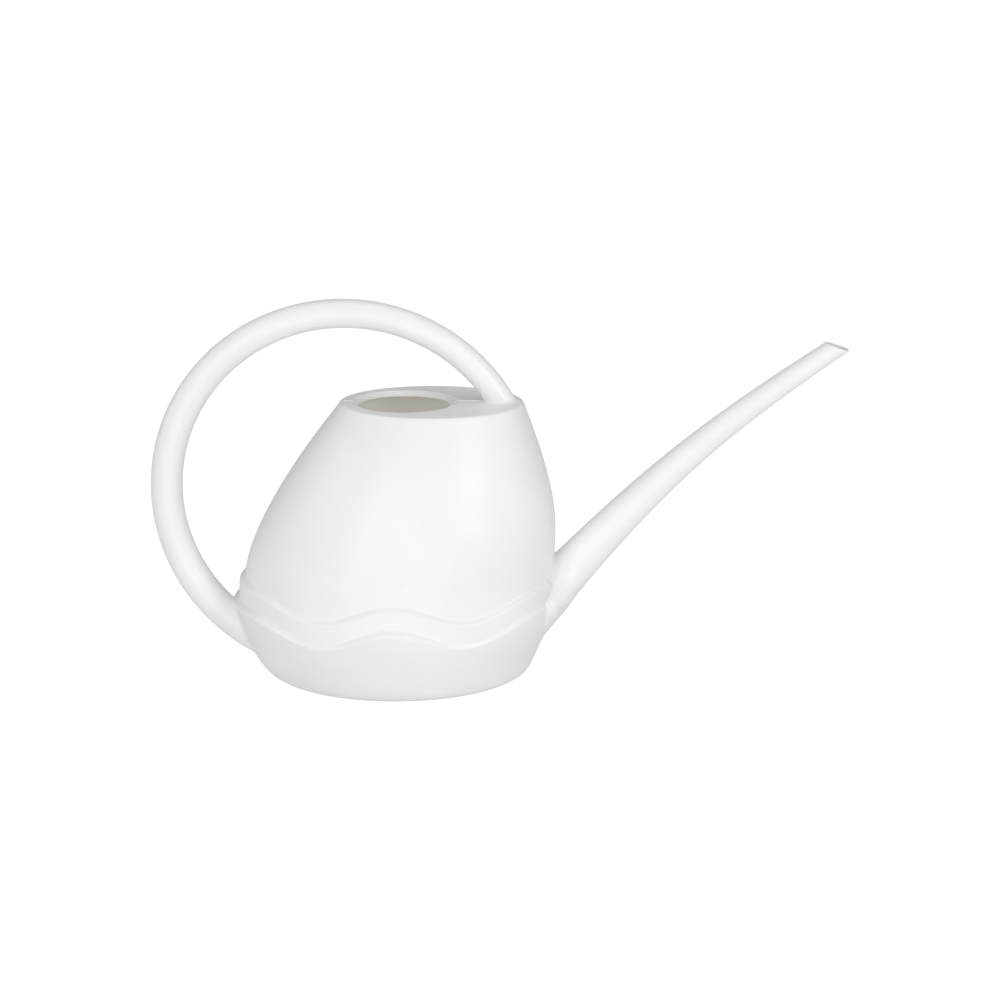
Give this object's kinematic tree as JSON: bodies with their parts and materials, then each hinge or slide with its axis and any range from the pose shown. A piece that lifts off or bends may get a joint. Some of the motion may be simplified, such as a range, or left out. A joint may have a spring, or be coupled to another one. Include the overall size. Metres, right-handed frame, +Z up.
{
  "type": "watering can",
  "caption": "Indoor watering can with a dome-shaped tank, wavy stepped base, round filler mouth, hoop handle and long slim curved spout.",
  "frame": {"origin": "on the floor, below the middle of the whole can's length", "axes": "+X towards the spout's tip, +Z up, and the can is symmetric about the XZ plane"},
  "size_m": [0.4657, 0.1944, 0.2545],
  "materials": {
    "body_plastic": "white polypropylene with a fine spark-eroded texture",
    "deck_plastic": "white polypropylene, fine matt texture on the deck and around the mouth",
    "smooth_plastic": "white polypropylene, smooth satin"
  },
  "bodies": {
    "root": {"base_bowl": "body_plastic", "wave_band": "body_plastic", "tank_shell": "body_plastic", "top_deck": "deck_plastic", "filler_ring": "deck_plastic", "spout_root": "smooth_plastic", "spout_tube": "smooth_plastic", "spout_lip": "smooth_plastic", "handle_hoop": "smooth_plastic", "handle_deck_socket": "smooth_plastic", "handle_heel_socket": "smooth_plastic"}
  },
  "joints": []
}
